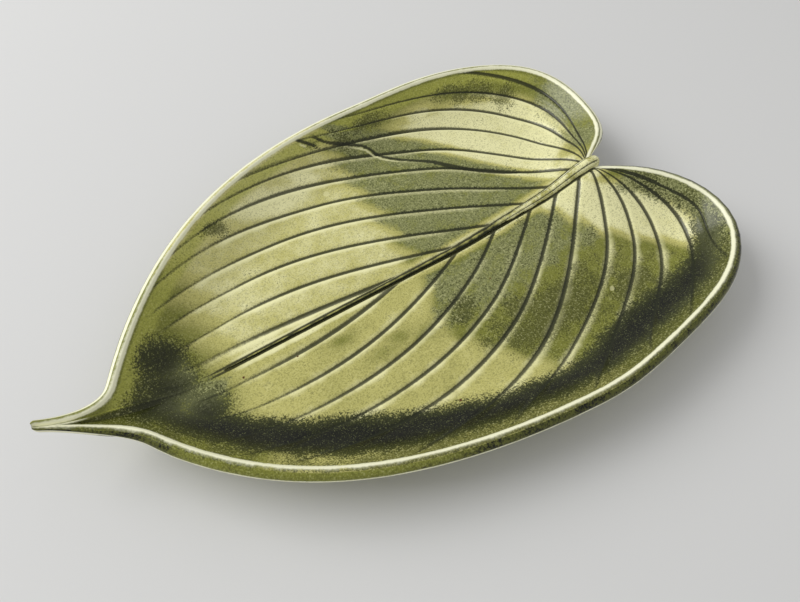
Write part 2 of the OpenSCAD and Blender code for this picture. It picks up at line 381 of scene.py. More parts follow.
def middle_y(x):
    """Sideways place of the leaf's middle line: the tip's curl and the stem's bow."""
    bow = np.clip(1 - ((x - BOW_PLACE) / BOW_REACH) ** 2, 0, None) ** 2
    return TIP_CURL * fade(x / CURL_REACH) + STEM_BOW * bow


def seat_half_w(x):
    """Half width of the seat under the midrib."""
    return (MIDRIB_END_W + (STEM_W - MIDRIB_END_W) * np.clip(x / NOTCH_LEN, 0, 1)) / 2


# Half width and height of the midrib's coil at places x
COIL_PLACES = [60, 110, 150, 200, 226, 238]
COIL_HALF_WIDTHS = [0.4, 0.55, 0.8, 1.5, 2.2, 2.9]
COIL_HEIGHTS = [0.3, 0.5, 0.75, 1.5, 2.5, 3.0]


def coil_half_w(x):
    """Half width of the midrib's coil."""
    return np.interp(x, COIL_PLACES, COIL_HALF_WIDTHS)


# Vein lines in plan
def turned(degrees):
    """Directions at these angles."""
    return np.stack([np.cos(np.radians(degrees)), np.sin(np.radians(degrees))], -1)


def start_x(q):
    """Where line number q starts on the midrib. Before the first vein the starts crowd into the tip."""
    return np.interp(np.where(q < 1, np.clip(q, 0, 1) ** TIP_START_POWER, q), LINE_NUMBERS, ORIGINS)


def end_share(q, half):
    """Share of the rim crest at which line number q ends.

    Before the first vein the ends spread out of the tip.
    """
    number = np.where(q < 1, 1 - (1 - np.clip(q, 0, 1)) ** TIP_END_POWER, q)
    return np.interp(number, LINE_NUMBERS, ENDS[half])


def vein_point(q, half, s):
    """Cubic curve from the midrib to the rim crest for line number q, at the way s."""
    x = start_x(q)
    start = np.stack([x, seat_half_w(x)], -1)
    finish = crest_at(end_share(q, half), half)
    chord = np.linalg.norm(finish - start, axis=-1, keepdims=True)
    tables = (LEAVE, MEET, LEAVE_REACH, MEET_REACH)
    leave, meet, leave_reach, meet_reach = (np.interp(q, LINE_NUMBERS, table[half]) for table in tables)
    leaving = start + leave_reach[..., None] * chord * turned(leave) * [-1, 1]
    meeting = finish + meet_reach[..., None] * chord * turned(meet)
    return bezier(start, leaving, meeting, finish, s)


VEIN_STEP = 0.02


def vein_spacing(i, half, s, towards):
    """Distance from vein i to the next line (1) or the one before (-1), square to the vein."""
    q = np.full_like(s, i)
    along = direction(lambda way: vein_point(q, half, way), s, VEIN_STEP)
    across = vein_point(q + towards, half, s) - vein_point(q, half, s)
    return np.abs(across[:, 0] * along[:, 1] - across[:, 1] * along[:, 0])


def is_vein(i):
    """True for a line that is drawn as a groove."""
    return 1 <= i <= VEINS


def vein_strength(half, s):
    """Depth of a vein along its length: in at the midrib, thinner past its first part, out at the rim."""
    return stretch(VEIN_IN, VEIN_OUT, s) * (1 - VEIN_THINNED * ease(THIN_FROM[half], 1, s))


def groove_shape(distance, spacing):
    """Relief beside a vein, its groove and the pale band along it, all smaller where veins crowd.

    The relief is a rounded groove with a low bank on each side. The band, thin glaze with a painted
    highlight, is brightest beside the groove.
    """
    size = np.clip(spacing / FULL_SPACING, SIZE_LEAST, 1)
    groove = bell(distance / np.maximum(size, GROOVE_LEAST), GROOVE_WIDTH)
    bank = bell(distance / size - BANK_PLACE, BANK_WIDTH)
    band = 1 - ease(*BAND_REACH, distance / size)
    return size ** RELIEF_POWER * (BANK_H * bank - GROOVE_DEPTH * groove), groove, band


def zone_share(spacing, s, real):
    """Share of the space between two lines that a groove's rows take.

    At the midrib it is the cap, so that the rows of both halves meet there.
    """
    if not real:
        return np.zeros_like(s)
    share = np.minimum(GROOVE_CAP, GROOVE_ZONE / np.maximum(spacing, 1e-6))
    return GROOVE_CAP + (share - GROOVE_CAP) * ease(0, CAP_REACH, s)


def blade_lines(half, s):
    """Rows of line numbers over one half at the steps s, with their relief, groove and pale band.

    From each line the rows cross the groove's zone in growing steps, spread evenly to the next groove's zone
    and cross that in shrinking steps. Between two veins the surface is a low pillow.
    """
    table = {"q": [], "relief": [], "groove": [], "band": []}
    strength = vein_strength(half, s)
    drawn = stretch(VEIN_IN, LINE_OUT, s)
    banded = stretch(BAND_IN, BAND_OUT, s)
    high_side, low_side = BAND_SIDES[half]
    no_rows = np.zeros((0, len(s)))
    for i, count in enumerate(PLAIN_ROWS):
        before = vein_spacing(i, half, s, 1)
        after = vein_spacing(i + 1, half, s, -1) if is_vein(i + 1) else before
        first = zone_share(before, s, is_vein(i))
        last = zone_share(after, s, is_vein(i + 1))
        plain = np.arange(count) / count
        if i == len(PLAIN_ROWS) - 1:
            plain = np.linspace(0, LAST_ROW, count)
        start_steps = first * GROOVE_STEPS[:-1, None] if is_vein(i) else no_rows
        end_steps = 1 - last * GROOVE_STEPS[:0:-1, None] if is_vein(i + 1) else no_rows
        way = np.vstack([start_steps, first + (1 - first - last) * plain[:, None], end_steps])
        relief, groove, band = np.zeros((3,) + way.shape)
        sides = ((i, way * before, before, high_side), (i + 1, (1 - way) * after, after, low_side))
        for line, distance, spacing, brightness in sides:
            if is_vein(line):
                shape, dip, beside = groove_shape(distance, spacing)
                relief += strength * shape
                groove = np.maximum(groove, drawn * dip)
                band = np.maximum(band, banded * brightness * beside)
        if is_vein(i) and is_vein(i + 1):
            full = np.clip(before / PILLOW_SPACING, 0, 1)
            relief += PILLOW_H * full * strength * 4 * way * (1 - way)
        for name, block in zip(table, (way + i, relief, groove, band)):
            table[name].append(block)
    return {name: np.vstack(blocks) for name, blocks in table.items()}


# Marks in the far (left) half's clay: a crease that crosses the veins and a short stroke beside it
MARKS = {
    "crease": np.array([
        [141, 82], [148, 77], [157, 74], [165, 70], [169, 63], [175, 58],
        [188, 48], [194, 41], [201, 34], [208, 28], [215, 22], [219, 19],
    ]),
    "stroke": np.array([[135, 81], [139, 79], [143, 77]]),
}
MARK_DEPTHS = {"crease": 0.4, "stroke": 0.25}
MARK_RIDGES = {"crease": 1.45, "stroke": 0.0}
MARK_BROAD = {"crease": 1.0, "stroke": 0.0}
MARK_WIDTH = 0.7
BROAD_MORE = 0.6
MARK_REACH = 6.0

# Parts of a mark's way, each in over one pair and out over the other: its relief, a thin ridge in it, a broad
# crack, the dark line and the pale line beside that
MARK_PART = ((0, 0.06), (0.92, 1))
RIDGE_PART = ((0.2, 0.255), (0.41, 0.465))
BROAD_PART = ((0.48, 0.58), (0.82, 0.95))
DARK_PART = ((0.01, 0.05), (0.95, 0.99))
PALE_PART = ((0.145, 0.255), (0.4, 0.545))

# Pale glaze on the left and right half, partly thin glaze and partly painted window light: a patch up to one
# line across the leaf, and the lobe past another.
# A line is given as places x at distances from the middle line.
PATCH_ENDS = (
    ([0, 80], [148, 148]),
    ([0, 6, 19, 30, 42, 57, 70, 86], [148, 148, 142, 140, 147, 161, 172, 184]),
)
LOBE_STARTS = (
    ([0, 12, 37, 60, 76, 79, 86], [224, 218, 203, 189, 171, 159, 150]),
    ([0, 5, 7, 28, 43, 56, 86], [206, 210, 213, 226, 244, 255, 268]),
)
JAGS = (10.0, 5.0)
PATCH_BLUR = (-5, 6)
PATCH_FROM = (50, 70)
PATCH_LEVELS = (1.0, 0.78)
LOBE_BLUR = (-5, 7)
LOBE_LEVEL = 1.3
LOBE_WALL = ((7, 16), (3, 11))
MIDRIB_LEVEL = 1.1
MIDRIB_PALE = (1, 5)
MIDRIB_FROM = (60, 90)

# Grey-green between patch and lobe, a painted reflection of the room, and thick glaze at the tip. Spots are a
# level, then ovals in plan, each a place and two reaches.
GREY_SHEEN_LEVEL = 0.75
GREY_SHEEN_FROM = (1, 6)
NEAR_GREY_SHEEN_END = (24, 40)
TIP_DEEP_LEVEL = 0.9
TIP_DEEP_END = (30, 48)
TIP_GREY = (1.0, (50, -5, 12, 7), (47, 5, 5, 5))

# Spots on the far (left) half: cream on patch and lobe, thin glaze and more painted window light; painted
# grey-green shade and thick glaze on the wall
FAR_CREAM = (1.4, (112, 61, 36, 13), (131, 67, 14, 8), (95, 62, 10, 5))
LOBE_CREAM = (1.3, (233, 8, 10, 7), (197, 73, 14, 5))
FAR_WALL_SHADE = (1.2, (257, 40, 7, 16), (250, 18, 7, 10))
FAR_SPOTS = (
    0.85, (171, 79, 12, 5), (157, 74, 7, 5), (82, 57, 9, 4), (141, 80, 9, 4),
    (214, 77, 9, 4), (224, 73, 9, 4), (233, 69, 9, 5), (241, 62, 7, 6),
)
FAR_SPOT_RIM = (2, 5)
FAR_DEEP_RIM = (2, 8)

# Spots on the near (right) half: thick glaze with painted shade past the pale patch, stains on the pale
# patch, and a raised pale flap at the stub
NEAR_DEEP = (1.0, (184, -46, 40, 16), (222, -56, 16, 12), (152, -26, 10, 8), (117, -36, 9, 6))
NEAR_DEEP_LEAST = 0.25
NEAR_STAINS = (0.75, (124, -23, 6, 4), (104, -13, 6, 3), (115, -26, 8, 4), (135, -27, 7, 4))
FLAP = (237.5, -5, 5.5, 4)
FLAP_LEVEL = 1.3
FLAP_H = 0.5

# Painted shade and thick glaze inside the near wall, along the share of its crest, grey-green as well round
# the lobe
NEAR_WALL = (6, 14)
NEAR_WALL_LEAST = 0.5
NEAR_WALL_FULL = (0.2, 0.35)
NEAR_WALL_HUB = (7, 16)
NEAR_LOBE = (0.72, 0.85)
NEAR_LOBE_THINNED = 0.55

# Painted light: a pale band on the wall inside the crest, on the left and right half
WALL_LEVELS = (1.0, 0.3)
WALL_BAND = ((1.2, 2.6), (4, 10))
WALL_FROM = (10, 30)
WALL_END = (0.76, 0.86)

# Pools: a ring inside the near rim, between two distances from the crest, spots at the tip and a faint
# painted shade
POOL_SHARES = [0.03, 0.08, 0.15, 0.28, 0.37, 0.45, 0.54, 0.61, 0.66, 0.79, 0.9]
POOL_INNER = [9, 13, 20, 24, 21, 18, 17, 21, 22, 14, 8]
POOL_OUTER = [2, 3, 3.5, 3.5, 3, 3, 3, 3.5, 3, 2, 1]
POOL_INNER_BLUR = (-8, 5)
POOL_OUTER_BLUR = (-2, 9)
POOL_RUN = ((0.02, 0.1), (0.82, 0.93))
TIP_POOLS = (0.86, (43, 12, 9, 9), (36, -4, 10, 8), (49, -12, 9, 8), (42, 2, 9, 8))
TIP_POOL_RIM = (1.5, 5)
SHADE_LEVEL = 0.26
SHADE_PLACE = 7
SHADE_WIDTH = 4.5
SHADE_FROM = (0.8, 0.87)
SHADE_HUB = (8, 22)


def ovals(p, level, *places):
    """Smooth oval humps in plan, all of one level, the highest at each point."""
    humps = []
    for place_x, place_y, reach_x, reach_y in places:
        away = np.hypot((p[..., 0] - place_x) / reach_x, (p[..., 1] - place_y) / reach_y)
        humps.append(bell(away, 1))
    return level * np.max(humps, 0)


def pool_mask(p, half, gap, share):
    """Where glaze has run together: at the tip, and on the near half in a ring inside the rim.

    Past the ring's end the near lobe's wall has a faint painted shade.
    """
    tip = ovals(p, *TIP_POOLS) * ease(*TIP_POOL_RIM, gap)
    if half == LEFT:
        return tip
    past_outer = ease(*POOL_OUTER_BLUR, gap - np.interp(share, POOL_SHARES, POOL_OUTER))
    past_inner = ease(*POOL_INNER_BLUR, gap - np.interp(share, POOL_SHARES, POOL_INNER))
    ring = past_outer * (1 - past_inner) * stretch(*POOL_RUN, share)
    # Faint painted shade on the near lobe's wall.
    shade = SHADE_LEVEL * bell(gap - SHADE_PLACE, SHADE_WIDTH) * ease(*SHADE_FROM, share)
    return np.max([tip, ring, shade * ease(*SHADE_HUB, hub_gap(np.abs(p)))], 0)


def glaze_masks(flat, half, q, gap, share):
    """Masks of the glaze over the inside: its thickness, and painted window light and painted shade.

    Patches end in a sawtooth line, as painted window light breaks on the pillows between veins:
    places are shifted along the leaf by how far they lie between two veins.
    """
    between = np.where((q > 1) & (q < VEINS), q - np.floor(q) - 0.5, 0)
    x = flat[..., 0] + JAGS[half] * between
    jagged = np.stack([x, flat[..., 1]], -1)
    from_middle = np.abs(flat[..., 1] - middle_y(flat[..., 0]))
    beside = from_middle - coil_half_w(flat[..., 0])
    # The patch and the lobe are pale from thin glaze and from painted window light.
    past_patch = ease(*PATCH_BLUR, x - np.interp(from_middle, *PATCH_ENDS[half]))
    in_lobe = ease(*LOBE_BLUR, x - np.interp(from_middle, *LOBE_STARTS[half]))
    past_only = past_patch * (1 - in_lobe)
    patch = PATCH_LEVELS[half] * ease(*PATCH_FROM, x) * (1 - past_patch)
    lobe = LOBE_LEVEL * in_lobe * ease(*LOBE_WALL[half], gap)
    at_midrib = MIDRIB_LEVEL * (1 - ease(*MIDRIB_PALE, beside)) * ease(*MIDRIB_FROM, x)
    pale = np.max([patch, lobe, at_midrib], 0)
    # Grey-green past the patch: a painted reflection of the room.
    grey_sheen_and_shade = GREY_SHEEN_LEVEL * past_only * ease(*GREY_SHEEN_FROM, beside)
    deep = TIP_DEEP_LEVEL * (1 - ease(*TIP_DEEP_END, x))
    if half == LEFT:
        # Cream spots: thin glaze and more painted window light.
        cream = ovals(jagged, *FAR_CREAM) * (1 - past_patch)
        pale = np.max([pale, cream, ovals(flat, *LOBE_CREAM)], 0)
        # Painted grey-green shade on the far lobe's right wall.
        grey_sheen_and_shade = np.maximum(grey_sheen_and_shade, ovals(flat, *FAR_WALL_SHADE))
        dark_spots = ovals(flat, *FAR_SPOTS) * ease(*FAR_SPOT_RIM, gap)
        deep = np.maximum(deep * ease(*FAR_DEEP_RIM, gap), dark_spots)
    else:
        stained = pale * (1 - ovals(flat, *NEAR_STAINS))
        pale = np.maximum(stained, ovals(flat, FLAP_LEVEL, FLAP))
        # Dark olive past the pale patch: thick glaze and painted shade.
        dark_spots = np.maximum(ovals(jagged, *NEAR_DEEP), NEAR_DEEP_LEAST) * past_only
        # Painted shade inside the near wall, with thick glaze; grey-green round the lobe.
        near_wall_shade = NEAR_WALL_LEAST + (1 - NEAR_WALL_LEAST) * ease(*NEAR_WALL_FULL, share)
        near_wall_shade = near_wall_shade * (1 - ease(*NEAR_WALL, gap)) * ease(*NEAR_WALL_HUB, hub_gap(np.abs(flat)))
        round_lobe = ease(*NEAR_LOBE, share)
        grey_sheen_and_shade = np.maximum(grey_sheen_and_shade * (1 - ease(*NEAR_GREY_SHEEN_END, from_middle)), near_wall_shade * round_lobe)
        deep = np.max([deep, dark_spots, near_wall_shade * (1 - NEAR_LOBE_THINNED * round_lobe)], 0)
    # Painted light on the wall inside the crest, mostly on the left half.
    wall = WALL_LEVELS[half] * stretch(*WALL_BAND, gap) * ease(*WALL_FROM, x)
    return {
        "pale": pale,
        "grey_sheen_and_shade": np.maximum(grey_sheen_and_shade, ovals(flat, *TIP_GREY)),
        "deep": deep,
        "pool": pool_mask(flat, half, gap, share),
        "wall": wall * (1 - ease(*WALL_END, share)),
    }


# Point attributes of the blade, with the values they have where nothing else is given
MASKS = ("groove", "band", "crest", "pool", "pale", "grey_sheen_and_shade", "deep", "wall", "edge", "under")
PLAIN_MASKS = dict.fromkeys(MASKS, 0.0) | dict.fromkeys(MARKS, -MARK_REACH)
PLAIN_MASKS |= {mark + "_way": 0.0 for mark in MARKS}


def with_masks(plan, z, given):
    """Points from their plan and heights, with every mask of the blade: the given ones, the others plain."""
    masks = {mask: np.broadcast_to(given.get(mask, plain), z.shape) for mask, plain in PLAIN_MASKS.items()}
    return np.concatenate([plan, z[..., None]], -1), masks


# The blade's surfaces, each a grid of rows along the midrib and steps from the midrib to the rim
def waviness(p, gap):
    """Slow unevenness of a slab pressed by hand: a sum of three long waves, less near the rim."""
    x = p[..., 0]
    y = p[..., 1]
    long_waves = 0.1 * np.sin(x / 9 + 1.7) * np.sin(y / 11) + 0.08 * np.sin(x / 17 - y / 13)
    return (long_waves + 0.05 * np.sin(y / 5 + x / 31)) * ease(*WAVES_RIM, gap)


def seat_groove(x, beside, width):
    """Groove pressed along each side of the coil, for a distance from the middle line."""
    return ease(*SEAT_GROOVE_FROM, x) * bell(beside - coil_half_w(x) - SEAT_GROOVE_PLACE, width)


def rim_tilt(share, half):
    """Angle of the wall at the rim crest."""
    return np.arctan(wall_slope(crest_at(share, half), 0))


def rounding(radius, distance):
    """How far a rounded corner lies under its face, at a distance from the sharp corner: a quarter circle."""
    reach = np.clip(distance, 0, radius)
    return radius - np.sqrt(np.clip(radius ** 2 - (radius - reach) ** 2, 0, None))


def mark_relief(flat, masks):
    """Relief of the marks. It also sets their masks: the signed distance to each, and the way along it."""
    relief = 0
    for mark, line in MARKS.items():
        away, way = signed_gap(flat, line)
        masks[mark] = np.clip(away, -MARK_REACH, MARK_REACH)
        masks[mark + "_way"] = np.where(np.abs(away) < MARK_REACH, way, 0)
        height = MARK_DEPTHS[mark] * (MARK_RIDGES[mark] * stretch(*RIDGE_PART, way) - 1)
        width = MARK_WIDTH * (1 + BROAD_MORE * MARK_BROAD[mark] * stretch(*BROAD_PART, way))
        relief = relief + height * bell(away, width) * stretch(*MARK_PART, way)
    return relief


def blade_top(half, s):
    """Inside of one half: the dish, with its veins, seat grooves, marks or flap, and rounded crest."""
    lines = blade_lines(half, s)
    p = vein_point(lines["q"], half, s)
    x = p[..., 0]
    gap, own_gap, share = rim_gap(p, half)
    flat = np.stack([x, SIDE[half] * p[..., 1] + middle_y(x)], -1)
    drawn = ease(*VEINS_FROM, x)
    seat = seat_groove(x, p[..., 1], SEAT_GROOVE_WIDTHS[half])
    relief = drawn * lines["relief"] - SEAT_GROOVES[half] * seat + waviness(flat, gap)
    masks = glaze_masks(flat, half, lines["q"], gap, share)
    full = ease(*LINES_FULL, x) * (1 - ease(THIN_FROM[half], 1, s))
    line = ease(*LINES_FROM, x) * lines["groove"] * (LINE_LEAST + (1 - LINE_LEAST) * full)
    # The seat grooves' dark line: pooled glaze and painted shade.
    masks["groove"] = np.maximum(line, seat)
    at_midrib = 1 - ease(*MIDRIB_BANDS[half], p[..., 1] - coil_half_w(x))
    at_midrib = MIDRIB_BAND_LEVEL * stretch(*MIDRIB_BAND_RUN, x) * at_midrib
    masks["band"] = np.maximum(drawn * lines["band"] * ease(*BAND_RIM, gap), at_midrib)
    masks["crest"] = bell(gap - CREST_PLACE, CREST_WIDTH)
    relief = relief + (mark_relief(flat, masks) if half == LEFT else ovals(flat, FLAP_H, FLAP))
    tilt = rim_tilt(share, half)
    radius = np.minimum(CREST_R, CREST_R_SHARE * slab_t(p, gap))
    sink = rounding(radius, own_gap / np.cos(tilt))
    plan = p + crest_out(share, half) * (sink * np.sin(tilt))[..., None]
    z = top_z(p, gap) + relief * ease(*RELIEF_RIM, gap) - sink * np.cos(tilt)
    return with_masks(plan, z, masks)


def blade_edge(half, s):
    """Square-cut edge of one half: from the crest's rounding to the arris, square to the wall and bulged."""
    share = end_share(blade_lines(half, s)["q"][:, -1:], half)
    p = crest_at(share, half)
    t = slab_t(p, 0)
    tilt = rim_tilt(share, half)
    top_r = np.minimum(CREST_R, CREST_R_SHARE * t)
    low_r = np.minimum(ARRIS_R, ARRIS_R_SHARE * t)
    way = np.arange(1, EDGE_STEPS + 1) / (EDGE_STEPS + 1)
    down = top_r + (t - top_r - low_r) * way
    bulge = EDGE_BULGE * t * np.sin(np.pi * way)
    plan = p + crest_out(share, half) * (down * np.sin(tilt) + bulge * np.cos(tilt))[..., None]
    z = top_z(p, 0) - down * np.cos(tilt) + bulge * np.sin(tilt)
    pale_top = PALE_EDGES[half] * (1 - ease(*PALE_EDGE_END, way))
    masks = {
        "crest": np.maximum(ARRIS_LEVEL * ease(*ARRIS_FROM, way), pale_top),
        "edge": 1 - (1 - EDGE_LEAST[half]) * stretch(*EDGE_THIN, share),
    }
    return with_masks(plan, z, masks)


def blade_under(half, s):
    """Underside of one half: the inside moved down by the thickness, and at the edge square to the wall."""
    p = vein_point(blade_lines(half, s)["q"], half, s)
    gap, own_gap, share = rim_gap(p, half)
    t = slab_t(p, gap)
    tilt = rim_tilt(share, half)
    square = fade(gap / SQUARE_REACH)
    slant = np.sqrt(1 + wall_slope(p, gap) ** 2)
    lift = rounding(np.minimum(ARRIS_R, ARRIS_R_SHARE * t), own_gap / np.cos(tilt))
    plan = p + crest_out(share, half) * ((square * t - lift) * np.sin(tilt))[..., None]
    z = top_z(p, gap) - t * ((1 - square) * slant + square * np.cos(tilt)) + lift * np.cos(tilt)
    masks = {
        "crest": ARRIS_LEVEL * (1 - ease(*ARRIS_UNDER, gap)),
        "edge": 1 - ease(*EDGE_UNDER, gap),
        "under": ease(*UNDER_FROM, gap),
    }
    return with_masks(plan, z, masks)


def blade_seat():
    """Strip under the midrib between the two halves: a bed for the coil, with a groove along each side."""
    s = np.zeros(1)
    q = blade_lines(LEFT, s)["q"]
    x = vein_point(q, LEFT, s)[..., 0]
    across = seat_half_w(x) * (1 - 2 * np.arange(1, SEAT_STEPS + 1) / (SEAT_STEPS + 1))
    x = x + 0 * across
    beside = np.abs(across)
    p = np.stack([x, beside], -1)
    gap = rim_gap(p, LEFT)[0]
    groove = seat_groove(x, beside, np.where(across > 0, *SEAT_GROOVE_WIDTHS))
    bed = ease(*BED_FROM, x) * (1 - ease(*BED_SIDE, beside - coil_half_w(x)))
    depth = np.where(across > 0, *SEAT_GROOVES)
    flat = np.stack([x, across + middle_y(x)], -1)
    masks = glaze_masks(flat, LEFT, 0 * across, gap, 0 * gap)
    # The seat grooves' dark line: pooled glaze and painted shade.
    masks["groove"] = groove
    masks["crest"] = bell(gap - SEAT_CREST_PLACE, SEAT_CREST_WIDTH)
    z = top_z(p, gap) - depth * groove - SEAT_BED * bed + waviness(flat, gap)
    return with_masks(np.stack([x, across], -1), z, masks)


def placed(points, side):
    """Points of one half put to its side of the bowed middle line, with the tip's end rounded to a nub."""
    x = points[..., 0]
    short = np.clip((NUB_R - x) / (NUB_R + NUB_SHARP), 0, 1)
    nub = np.sqrt(1 - short ** 2)
    nub_z = RIM_H + TIP_RISE - 0.5 * WALL_T * TIP_T_SHARE
    y = side * points[..., 1] * nub + middle_y(x)
    z = np.where(x < NUB_R, nub_z + (points[..., 2] - nub_z) * nub, points[..., 2])
    return np.stack([x, y, z], -1)


# Meshes
foot_low, foot_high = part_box("foot_ring")
MIDDLE = np.array([
    FOOT_PLACE - (foot_low.x + foot_high.x) / 2 / MM,
    -(foot_low.y + foot_high.y) / 2 / MM,
    0,
])


def ring_faces(rows, columns, loop):
    """Quads between neighbouring rings of a grid. Its columns close on themselves, and its rows in a loop."""
    row = np.arange(rows if loop else rows - 1)[:, None]
    first = columns * row
    second = columns * ((row + 1) % rows)
    here = np.arange(columns)[None]
    after = (here + 1) % columns
    return np.stack([first + here, first + after, second + after, second + here], -1).reshape(-1, 4)


def cap_faces(first, columns):
    """Quads that close a ring, from each column to the one that is as far from the ring's other end."""
    k = np.arange(columns // 2 - 1)
    return first + np.stack([k, columns - 1 - k, columns - 2 - k, k + 1], -1)


def signed_volume(points, quads):
    """Volume inside the faces: positive where they point outwards."""
    a, b, c, d = (points[quads[:, k]] for k in range(4))
    return ((np.cross(a, b) * c).sum() + (np.cross(a, c) * d).sum()) / 6


def add_object(name, data):
    """A new object of these data, in the scene."""
    added = bpy.data.objects.new(name, data)
    bpy.context.scene.collection.objects.link(added)
    return added


def make_piece(name, rings, masks, loop=False):
    """Mesh of a grid of rings in millimetres, faces outwards, with its masks as point attributes."""
    rows, columns = rings.shape[:2]
    points = (rings.reshape(-1, 3) - MIDDLE) * MM
    quads = ring_faces(rows, columns, loop)
    if not loop:
        last = (rows - 1) * columns
        quads = np.vstack([quads, cap_faces(0, columns), cap_faces(last, columns)[:, ::-1]])
    if signed_volume(points, quads) < 0:
        quads = quads[:, ::-1]
    mesh = bpy.data.meshes.new(name)
    mesh.from_pydata(points.tolist(), [], quads.tolist())
    mesh.polygons.foreach_set("use_smooth", np.ones(len(quads), dtype=bool))
    for mask, values in masks.items():
        attribute = mesh.attributes.new(mask, "FLOAT", "POINT")
        attribute.data.foreach_set("value", np.ascontiguousarray(values.ravel(), dtype=np.float32))
    return add_object(name, mesh)


def make_blade():
    """The leaf's slab: rings over the left inside, seat, right inside, right edge, underside, left edge."""
    top_s = crowded(TOP_STEPS, *TOP_CROWDING)
    under_s = crowded(UNDER_STEPS, *UNDER_CROWDING)
    sections = (
        (blade_top, LEFT, top_s, -1),
        (None, LEFT, None, 1),
        (blade_top, RIGHT, top_s, 1),
        (blade_edge, RIGHT, top_s, 1),
        (blade_under, RIGHT, under_s, -1),
        (blade_under, LEFT, under_s, 1),
        (blade_edge, LEFT, top_s, -1),
    )
    rings = []
    all_masks = []
    for surface, half, steps, order in sections:
        points, masks = surface(half, steps) if surface else blade_seat()
        rings.append(placed(points, SIDE[half])[:, ::order])
        all_masks.append({name: mask[:, ::order] for name, mask in masks.items()})
    joined = {name: np.concatenate([masks[name] for masks in all_masks], 1) for name in all_masks[0]}
    return make_piece("leaf_blade", np.concatenate(rings, 1), joined)


# The coil: its grid, its form, and the lines cut along it at shares of its half width
COIL_ROWS = 170
COIL_CROWDING = (2, 14, 0.02)
COIL_COLUMNS = 48
COIL_SINK = 0.8
TAPER_LEAST = 0.3
TAPER_REACH = 16
ARCH_POWER = 0.85
ARCH_LEAST = 0.35
DOME_LEAST = 1e-4
WOBBLE_H = 0.1
WOBBLE_LEN = 6.1
WOBBLE_FROM = (150, 220)
INCISED_DEPTH = 0.3
INCISED_WIDTH = 0.16
INCISED_PLACES = (-0.55, 0.6)
INCISED_FROM = (150, 190)
INCISED_END = (0, 3)


def make_coil():
    """The midrib: a rolled coil on the bowed middle line, thinning to the tip, domed at its end in the notch.

    The lines cut along it come in where it becomes thick.
    """
    end = NOTCH_LEN + STEM_OVER
    x = MIDRIB_END + (end - MIDRIB_END) * crowded(COIL_ROWS, *COIL_CROWDING)
    on_seat = np.stack([np.minimum(x, NOTCH_LEN), np.minimum(seat_half_w(x), STEM_W / 2)], -1)
    middle = np.stack([x, middle_y(x)], -1)
    gap = rim_gap(on_seat, LEFT)[0]
    seat_z = (top_z(on_seat, gap) + waviness(middle, gap))[:, None]
    height = np.interp(x, COIL_PLACES, COIL_HEIGHTS)[:, None]
    x = x[:, None]
    from_end = np.clip((end - x) / (STEM_W / 2), 0, 1)
    dome = np.sqrt(1 - (1 - from_end) ** 2 + DOME_LEAST)
    taper = TAPER_LEAST + (1 - TAPER_LEAST) * ease(0, TAPER_REACH, x - MIDRIB_END)
    angle = np.linspace(0, 2 * np.pi, COIL_COLUMNS, endpoint=False)[None]
    half_w = coil_half_w(x)
    across = half_w * np.cos(angle) * dome * taper
    up = np.maximum(np.sin(angle), 0)
    arch = up ** ARCH_POWER * height * (ARCH_LEAST + (1 - ARCH_LEAST) * dome) * taper
    below = np.minimum(np.sin(angle), 0) * COIL_SINK * dome
    wobble = WOBBLE_H * np.sin(x / WOBBLE_LEN) * up * ease(*WOBBLE_FROM, x)
    cuts = [bell(across - place * half_w, INCISED_WIDTH * half_w) for place in INCISED_PLACES]
    incised = np.max(cuts, 0) * up * ease(*INCISED_FROM, x) * ease(*INCISED_END, end - x)
    z = seat_z + arch + below + wobble - INCISED_DEPTH * incised
    points = np.stack([x + 0 * across, across + middle_y(x), z], -1)
    masks = {
        "rise": up + 0 * across,
        "run": x / NOTCH_LEN + 0 * across,
        "incised": incised,
        "side": np.cos(angle) + 0 * across,
    }
    return make_piece("midrib", points, masks)


# The foot: its grid, how far it goes into the slab, its lower corners and the height that is worn
FOOT_ROWS = 180
ARC_POINTS = 6
FLAT_POINTS = 5
FOOT_SINK = 0.6
FOOT_CORNER = 1.2
WORN_H = 0.8


def make_foot():
    """The foot: a bar with rounded lower corners, carried round an egg-shaped path under the floor."""
    turn = np.linspace(0, 2 * np.pi, FOOT_ROWS, endpoint=False)[:, None]
    arc = np.linspace(0, np.pi / 2, ARC_POINTS)
    outer = np.stack([FOOT_CORNER * (1 - np.cos(arc)), FOOT_CORNER * (1 - np.sin(arc))], -1)
    flat_x = np.linspace(FOOT_CORNER, FOOT_W - FOOT_CORNER, FLAT_POINTS)[1:-1]
    low_middle = np.stack([flat_x, 0 * flat_x], -1)
    inner = [FOOT_W, 0] + outer[::-1] * [-1, 1]
    top = np.array([[FOOT_W, FOOT_H + FOOT_SINK], [0, FOOT_H + FOOT_SINK]])
    profile = np.vstack([outer, low_middle, inner, top])
    inset = profile[None, :, 0]
    x = FOOT_PLACE + (FOOT_LEN / 2 - inset) * np.cos(turn)
    y = (FOOT_WIDTH / 2 - inset) * np.sin(turn) * (1 + FOOT_EGG * np.cos(turn))
    z = np.repeat(profile[None, :, 1], FOOT_ROWS, 0)
    return make_piece("foot", np.stack([x, y, z], -1), {"worn": 1 - ease(0, WORN_H, z)}, loop=True)


